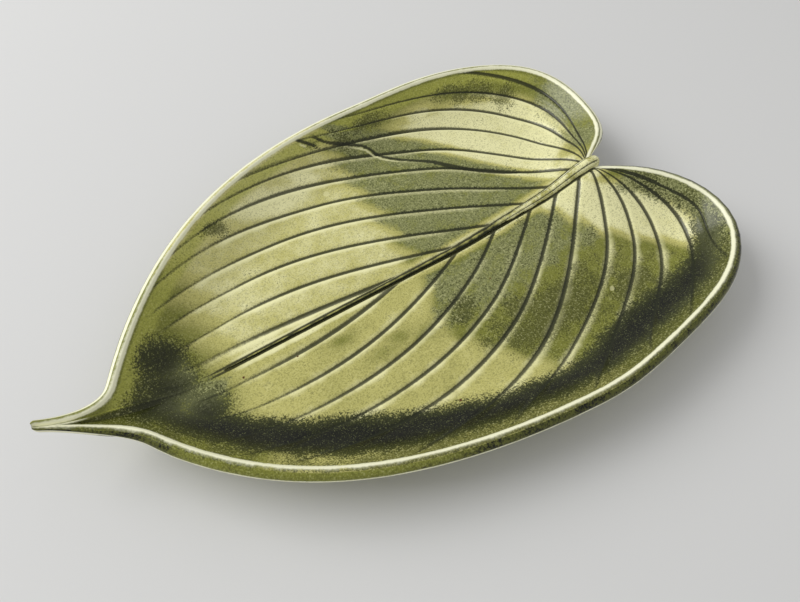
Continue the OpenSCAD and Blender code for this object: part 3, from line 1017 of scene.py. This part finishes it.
# Shader maths: a small wrapper round sockets
class Shade:
    """A socket of a material. Sums, differences, products and powers of shades add Math nodes."""

    def __init__(self, tree, socket=None):
        self.tree = tree
        self.socket = socket

    def node(self, kind, settings, inputs, output=0):
        """A node of a type: its settings first, then the values or links of its sockets. Gives one output."""
        node = self.tree.nodes.new("ShaderNode" + kind)
        for name, value in settings.items():
            setattr(node, name, value)
        for name, value in inputs.items():
            if isinstance(value, Shade):
                self.tree.links.new(value.socket, node.inputs[name])
            else:
                node.inputs[name].default_value = value
        return Shade(self.tree, node.outputs[output])

    def math(self, operation, *values):
        """A Math node of these values."""
        return self.node("Math", {"operation": operation}, dict(enumerate(values)))

    def __add__(self, other):
        return self.math("ADD", self, other)

    __radd__ = __add__

    def __sub__(self, other):
        return self.math("SUBTRACT", self, other)

    def __rsub__(self, other):
        return self.math("SUBTRACT", other, self)

    def __mul__(self, other):
        return self.math("MULTIPLY", self, other)

    __rmul__ = __mul__

    def __pow__(self, other):
        return self.math("POWER", self, other)

    def larger(self, other):
        """The larger of two values."""
        return self.math("MAXIMUM", self, other)

    def ease(self, low, high):
        """Smooth step from zero at low to one at high."""
        settings = {"interpolation_type": "SMOOTHSTEP"}
        return self.node("MapRange", settings, {"Value": self, "From Min": low, "From Max": high})

    def stretch(self, start, end):
        """Smooth step up over the pair start, and down again over the pair end."""
        return self.ease(*start) * (1 - self.ease(*end))

    def size(self):
        """The value without its sign."""
        return self.math("ABSOLUTE", self)

    def mixed(self, colour, other):
        """From one colour to another by this value."""
        return self.node("Mix", {"data_type": "RGBA"}, {0: self, 6: colour, 7: other}, 2)


def srgb(red, green, blue):
    """Colour as seen on a screen, from 0 to 255, as a linear colour."""
    return tuple(((v / 255 + 0.055) / 1.055) ** 2.4 for v in (red, green, blue)) + (1,)


def new_material(name):
    """A material with only its shader, as a shade to start expressions from, and the shader's node."""
    material = bpy.data.materials.new(name)
    material.use_nodes = True
    tree = material.node_tree
    return material, Shade(tree), tree.nodes["Principled BSDF"]


def wire(shader, **sockets):
    """Links shades to the shader's sockets, and sets plain values on them."""
    for name, value in sockets.items():
        socket = shader.inputs[name.replace("_", " ")]
        if isinstance(value, Shade):
            value.tree.links.new(value.socket, socket)
        else:
            socket.default_value = value


def noise(start, place, scale, detail, roughness):
    """Cloudy pattern from nought to one on Object coordinates, scale in features to the metre."""
    inputs = {"Vector": place, "Scale": scale, "Detail": detail, "Roughness": roughness}
    return start.node("TexNoise", {}, inputs)


def mask_of(start, name):
    """The piece's own point attribute of that name."""
    return start.node("Attribute", {"attribute_name": name}, {}, "Fac")


RIM_CREAM = srgb(250, 249, 216)
CREAM = srgb(246, 243, 188)
PALE_GLAZE = srgb(198, 193, 116)
LIGHT_OLIVE = srgb(172, 169, 96)
OLIVE = srgb(128, 131, 54)
LIT_WALL_OLIVE = srgb(184, 186, 86)
GREY_GREEN = srgb(140, 144, 98)
DEEP_OLIVE = srgb(88, 91, 38)
DARK_OLIVE = srgb(56, 60, 24)
POOL = srgb(12, 14, 6)
POOL_SPECK = srgb(126, 130, 88)
VEIN = srgb(32, 36, 16)
IRON = srgb(92, 58, 26)
CLAY = srgb(205, 190, 158)
DARK_CLAY = srgb(190, 170, 132)
GROG = srgb(120, 92, 60)
STOOD_CLAY = srgb(140, 132, 118)

# Places in millimetres and radii of the specks and blobs in the glaze
IRON_SPECKS = ((65.5, -6.7, 0.6), (86.6, -9.7, 0.5), (128.4, -57.8, 0.7), (98, 31, 0.4), (171, -20, 0.45))
PALE_BLOBS = ((119, 59, 1.7), (116, 59, 1.3), (142, 18, 1.6), (139, 14, 1.3), (211, -51, 1.2), (136, 56, 1.4))

# Patterns in glaze and clay: features to the metre, detail and roughness
GLAZE_PATTERNS = {
    "grain": (1700, 2.0, 0.6),
    "speckle": (950, 2.0, 0.55),
    "cloud": (130, 3.0, 0.55),
    "drift": (30, 2.0, 0.5),
}
COIL_SPECKLE = (1100, 2.0, 0.55)
COIL_CLOUD = (200, 3.0, 0.5)
GROG_GRAIN = (1400, 3.0, 0.7)
CLAY_CLOUD = (70, 2.0, 0.5)

# How ragged the masks are: the share of each pattern that is added, and the ends of the smooth step after it
RAGGED = {
    "wall": ({"cloud": 0.8, "speckle": 0.5}, (0.3, 0.9)),
    "grey_sheen_and_shade": ({"cloud": 1.3, "speckle": 0.8}, (0.3, 0.8)),
    "deep": ({"cloud": 1.6, "grain": 1.2}, (0.3, 0.8)),
    "band": ({"cloud": 0.9}, (0.2, 1.0)),
    "edge": ({"speckle": 0.5, "cloud": 0.4}, (0.4, 0.9)),
    "crest": ({"cloud": 0.6, "speckle": 0.4}, (0.25, 0.85)),
}

# Within a pool or groove, where its own grain comes in
GRAIN_FROM = (0.02, 0.3)

# Widths of a mark's lines by their distance: the dark line, what a broad part adds, and the pale line beside
DARK_EDGE = (0.35, 1.0)
BROAD_EDGE = (0.45, 0.6)
PALE_PLACE = 1.4
PALE_EDGE = (0.1, 0.75)
MARK_RAGGED = 0.7

# Surfaces of glaze and clay
GLAZE_ROUGH = 0.2
GLAZE_ROUGH_MORE = 0.08
GLAZE_BUMP = 0.08
GLAZE_SPECULAR = 0.3
CLAY_ROUGH = 0.75
CLAY_ROUGH_MORE = 0.15
CLAY_BUMP = 0.25


def spots(start, place, places, ragged_by):
    """Spots of the given places and radii as one mask, their distances shifted by a ragged value."""
    x, y = (start.node("SeparateXYZ", {}, {0: place}, k) for k in (0, 1))
    mask = None
    for spot_x, spot_y, radius in places:
        x_away = x - (spot_x - MIDDLE[0]) * MM
        y_away = y - (spot_y - MIDDLE[1]) * MM
        away = (x_away * x_away + y_away * y_away) ** 0.5 + ragged_by
        spot = 1 - away.ease(0.5 * radius * MM, radius * MM)
        mask = spot if mask is None else mask.larger(spot)
    return mask


def mark_lines(start, mark, ragged_by):
    """A mark's dark line from its signed distance, and the pale line along its near side."""
    signed = mask_of(start, mark) + ragged_by
    way = mask_of(start, mark + "_way")
    whole = way.stretch(*DARK_PART)
    broad = MARK_BROAD[mark] * way.stretch(*BROAD_PART)
    low, high = (edge + more * broad for edge, more in zip(DARK_EDGE, BROAD_EDGE))
    dark = 1 - signed.size().ease(low, high)
    pale = 1 - (signed + PALE_PLACE).size().ease(*PALE_EDGE)
    return whole * dark, whole * pale * way.stretch(*PALE_PART)


def ragged(mask, patterns, shares, ends):
    """A mask with shares of the patterns added to it, after a smooth step."""
    for name, share in shares.items():
        mask = mask + share * patterns[name]
    return mask.ease(*ends)


def layered(colour, layers):
    """Colours laid over one another, each by its own amount."""
    for amount, over in layers:
        colour = amount.mixed(colour, over)
    return colour


def wire_glaze(start, shader, colour, speckle, height):
    """Gives a shader the surface of a glaze: its colour, a gloss varied by the speckle and a faint relief."""
    bump = start.node("Bump", {}, {"Strength": GLAZE_BUMP, "Distance": MM, "Height": height})
    rough = GLAZE_ROUGH + GLAZE_ROUGH_MORE * speckle
    wire(shader, Base_Color=colour, Roughness=rough, Normal=bump, Specular_IOR_Level=GLAZE_SPECULAR)


def olive_glaze():
    """Glaze of the slab: pale where thin and where window light is painted, olive, darker where shade is
    painted, and black-green with light specks where it has pooled.

    Each layer is an amount, from its strength, its masks and smooth steps of the patterns, and a colour.
    """
    material, start, shader = new_material("olive_glaze")
    place = start.node("TexCoord", {}, {}, "Object")
    patterns = {name: noise(start, place, *numbers) - 0.5 for name, numbers in GLAZE_PATTERNS.items()}
    grain, speckle, cloud, drift = patterns.values()
    masks = {name: mask_of(start, name) for name in MASKS}
    groove, pool, grey_sheen_and_shade, under = (masks[name] for name in ("groove", "pool", "grey_sheen_and_shade", "under"))
    soft = {name: ragged(masks[name], patterns, *numbers) for name, numbers in RAGGED.items()}
    soft_grey_sheen_and_shade = soft["grey_sheen_and_shade"]
    # Thick glaze together with painted shade.
    thick = soft["deep"]
    # Thin glaze and painted window light, with noise.
    thin = masks["pale"] + 0.5 * drift + 0.5 * cloud + 0.4 * speckle
    grained = grain + 0.5 * speckle
    worked = 0.35 + 0.3 * soft_grey_sheen_and_shade + 0.3 * thick
    run_together = pool + pool.ease(*GRAIN_FROM) * (1.2 * grain + 0.8 * speckle + 0.5 * cloud)
    pooled = pool.ease(0.2, 0.5)
    specks = (grain + 0.6 * speckle).size().ease(0.1, 0.26)
    groove_grain = (0.35 + 0.65 * soft_grey_sheen_and_shade) * (0.9 * grain + 0.7 * speckle)
    dark_line = (1.1 * groove + groove.ease(*GRAIN_FROM) * groove_grain).ease(0.25, 0.72)
    layers = [
        # Pale layers: thin glaze and painted window light.
        (thin.ease(0.0, 0.5), LIGHT_OLIVE),
        (thin.ease(0.3, 0.9), PALE_GLAZE),
        (0.9 * thin.ease(0.8, 1.35), CREAM),
        # Painted light on the wall inside the crest.
        (0.7 * soft["wall"], LIT_WALL_OLIVE),
        # Grey-green: painted reflection of the room, and painted shade on the lobes' walls.
        (0.75 * soft_grey_sheen_and_shade, GREY_GREEN),
        # Dark olive: thick glaze and painted shade.
        (0.8 * thick, DEEP_OLIVE),
        (worked * grained.ease(-0.04, 0.18), DARK_OLIVE),
        (0.4 * worked * (0 - grained).ease(0.06, 0.2), CREAM),
        # Pale bands beside the veins: thin glaze on the banks and a painted highlight.
        (0.95 * soft["band"] * (1 - 0.6 * soft_grey_sheen_and_shade) * (1 - 0.75 * thick), CREAM),
        (run_together.ease(0.05, 0.55), DARK_OLIVE),
        (run_together.ease(0.4, 1.1), POOL),
        (0.45 * specks * pooled, POOL_SPECK),
        (0.5 * grey_sheen_and_shade * pooled * (grain + speckle).ease(-0.2, 0.15), GREY_GREEN),
        ((0.72 + 0.2 * groove) * dark_line, VEIN),
    ]
    for mark in MARKS:
        dark, beside = mark_lines(start, mark, MARK_RAGGED * speckle)
        layers += [(0.9 * dark, VEIN), (0.65 * beside, CREAM)]
    # Dark cut edge: thick glaze and painted shade.
    edge_glaze_and_shade = (cloud + 0.8 * speckle + 0.6 * grain).ease(-0.15, 0.25).mixed(DEEP_OLIVE, POOL)
    under_colour = cloud.ease(-0.2, 0.2).mixed(OLIVE, LIGHT_OLIVE)
    blobs = spots(start, place, PALE_BLOBS, 0.004 * cloud + 0.002 * speckle)
    iron = spots(start, place, IRON_SPECKS, 0.0006 * speckle)
    layers += [
        (soft["edge"], edge_glaze_and_shade),
        (under, under_colour),
        (soft["crest"], RIM_CREAM),
        (0.4 * blobs * (1 - under), CREAM),
        (iron * (1 - under), IRON),
    ]
    wire_glaze(start, shader, layered(OLIVE, layers), speckle, 0.5 * grain + 0.5 * cloud)
    return material


def pale_glaze():
    """Glaze of the midrib: pale on its top where thin, dark at its foot from pooled glaze and painted shade,
    and in the lines cut along it.
    """
    material, start, shader = new_material("pale_glaze")
    place = start.node("TexCoord", {}, {}, "Object")
    speckle = noise(start, place, *COIL_SPECKLE) - 0.5
    cloud = noise(start, place, *COIL_CLOUD) - 0.5
    rise, run, incised, side = (mask_of(start, name) for name in ("rise", "run", "incised", "side"))
    late = (run + 0.15 * cloud).ease(0.76, 0.86)
    high = (rise + 0.8 * cloud + 0.85 * late).ease(0.8, 1.1)
    flecks = side.ease(0.55, 0.8) * late * (cloud + speckle).ease(0.0, 0.1)
    layers = (
        (high, LIGHT_OLIVE),
        (high * late * (cloud + speckle).ease(-0.25, 0.15), CREAM),
        (0.6 * speckle.ease(0.05, 0.2), DARK_OLIVE),
        (0.9 * (incised + 0.8 * speckle).ease(0.3, 0.8), VEIN),
        (0.8 * flecks, RIM_CREAM),
    )
    # The coil starts dark: its foot is pooled glaze and painted shade.
    wire_glaze(start, shader, layered(VEIN, layers), speckle, cloud)
    return material


def bare_clay():
    """Fired clay without glaze: buff, with fine grog and iron specks, and greyer where it has stood."""
    material, start, shader = new_material("bare_clay")
    place = start.node("TexCoord", {}, {}, "Object")
    grog = noise(start, place, *GROG_GRAIN)
    cloud = noise(start, place, *CLAY_CLOUD)
    layers = (
        (cloud.ease(0.3, 0.7), DARK_CLAY),
        (0.7 * grog.ease(0.6, 0.7), GROG),
        (0.35 * mask_of(start, "worn") * cloud, STOOD_CLAY),
    )
    bump = start.node("Bump", {}, {"Strength": CLAY_BUMP, "Distance": MM, "Height": grog})
    rough = CLAY_ROUGH + CLAY_ROUGH_MORE * cloud
    wire(shader, Base_Color=layered(CLAY, layers), Roughness=rough, Normal=bump)
    return material


def dress(piece, material, node):
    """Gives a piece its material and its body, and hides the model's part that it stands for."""
    piece.data.materials.append(material)
    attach(piece, "root")
    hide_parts(node)


dress(make_blade(), olive_glaze(), "leaf_bowl")
dress(make_coil(), pale_glaze(), "midrib_coil")
dress(make_foot(), bare_clay(), "foot_ring")


# Floor, light and camera
TABLE_REACH = 3.0
TABLE_COLOUR = (0.72, 0.72, 0.71, 1)
TABLE_ROUGH = 0.8
WINDOW = {"place": (-1.05, 1.05, 1.2), "target": (0, 0, 0.01), "width": 1.5, "depth": 1.2, "radiance": 4.6}
ROOM = {"level": 0.5, "seen_level": 0.72}
CAMERA_FROM_TIP = np.array([57.34, -119.95, 220.77])
CAMERA_PLACE = Vector((CAMERA_FROM_TIP - MIDDLE) * MM)
CAMERA_AHEAD = Vector((0.3028, 0.4411, -0.8448))
CAMERA_LENS = 27.9
CAMERA_SENSOR = 36
CAMERA_CLIP = 0.01
CAMERA_ROLL = math.radians(2)


def make_floor():
    """A plain pale table top."""
    mesh = bpy.data.meshes.new("table_top")
    corners = [(x * TABLE_REACH, y * TABLE_REACH, 0) for x, y in ((-1, -1), (1, -1), (1, 1), (-1, 1))]
    mesh.from_pydata(corners, [], [(0, 1, 2, 3)])
    table = add_object("table_top", mesh)
    material, _, shader = new_material("table_top")
    wire(shader, Base_Color=TABLE_COLOUR, Roughness=TABLE_ROUGH)
    table.data.materials.append(material)


def make_softbox(name, place, target, width, depth, radiance):
    """A rectangular area lamp of an even radiance, turned to a point."""
    data = bpy.data.lights.new(name, "AREA")
    data.shape = "RECTANGLE"
    data.size = width
    data.size_y = depth
    data.energy = radiance * math.pi * width * depth
    lamp = add_object(name, data)
    lamp.location = place
    lamp.rotation_euler = (Vector(target) - Vector(place)).to_track_quat("-Z", "Y").to_euler()


def make_world(level, seen_level):
    """Even grey light from all round, that the camera itself sees at a paler level."""
    world = bpy.data.worlds.new("room")
    world.use_nodes = True
    tree = world.node_tree
    back = tree.nodes["Background"]
    back.inputs["Color"].default_value = (1, 1, 1, 1)
    seen = Shade(tree).node("LightPath", {}, {}, "Is Camera Ray")
    wire(back, Strength=level + (seen_level - level) * seen)
    bpy.context.scene.world = world


def make_camera():
    """The photograph's viewpoint: a place, a direction ahead and a small roll."""
    data = bpy.data.cameras.new("camera")
    data.sensor_width = CAMERA_SENSOR
    data.lens = CAMERA_LENS
    data.clip_start = CAMERA_CLIP
    camera = add_object("camera", data)
    level = CAMERA_AHEAD.to_track_quat("-Z", "Y").to_matrix().to_4x4()
    camera.matrix_world = Matrix.Translation(CAMERA_PLACE) @ level @ Matrix.Rotation(CAMERA_ROLL, 4, "Z")
    bpy.context.scene.camera = camera


make_floor()
make_softbox("window", **WINDOW)
make_world(**ROOM)
make_camera()
bpy.context.scene.view_settings.view_transform = "Standard"
